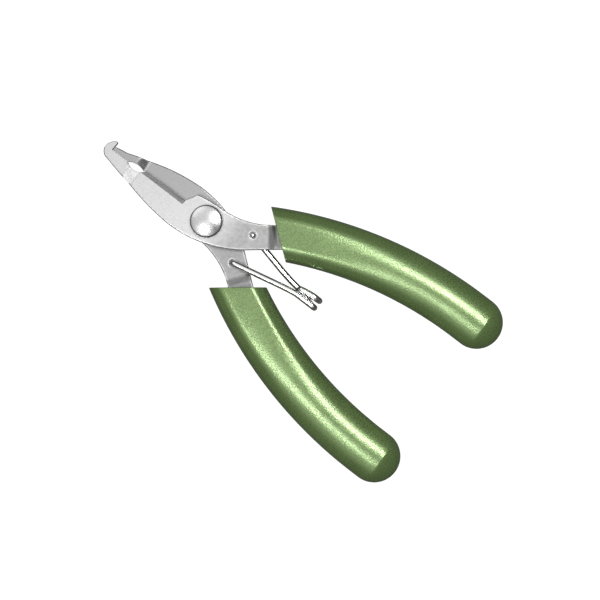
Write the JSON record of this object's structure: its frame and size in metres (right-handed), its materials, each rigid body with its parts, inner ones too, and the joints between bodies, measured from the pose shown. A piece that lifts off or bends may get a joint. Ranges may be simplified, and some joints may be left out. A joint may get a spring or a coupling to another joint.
{
  "type": "fishing pliers",
  "caption": "Spring-opened split-ring pliers: crossed steel levers on a domed rivet, a hooked tooth over a plain jaw tip, bypass cutting edges and curved slip-on grips.",
  "frame": {"origin": "centre of the footprint on the surface that the tool lies on, its grips' flats down; the rivet's axis stands at x 0, y 25.45 mm", "axes": "+Y towards the jaws' tips, +Z out of the rivet's domed head, +X towards the grip of the lever that lies on top"},
  "size_m": [0.064, 0.1241, 0.01],
  "materials": {
    "front_steel": "stamped, ground and tumbled stainless steel with bright rounded edges",
    "rear_steel": "the same stainless steel, with an even satin face",
    "rivet_steel": "polished dome, slightly peened at its middle",
    "washer_steel": "plain turned steel",
    "spring_wire": "bright drawn stainless spring wire",
    "grip_plastic": "olive green moulded vinyl with a fine satin grain"
  },
  "bodies": {
    "rear_half": {"rear_lever": "rear_steel", "pivot_rivet": "rivet_steel", "rivet_washer": "washer_steel", "return_spring": "spring_wire", "rear_grip": "grip_plastic"},
    "front_half": {"front_lever": "front_steel", "front_grip": "grip_plastic"}
  },
  "joints": [
    {"name": "pivot", "type": "hinge", "parent": "rear_half", "child": "front_half", "pos_m": [0, 0.02545, 0.005], "axis": [0, 0, 1], "range_deg": [0, 16], "stiffness_Nm_per_rad": 0.5, "springref_deg": 22.92, "deforming": ["return_spring"]}
  ]
}
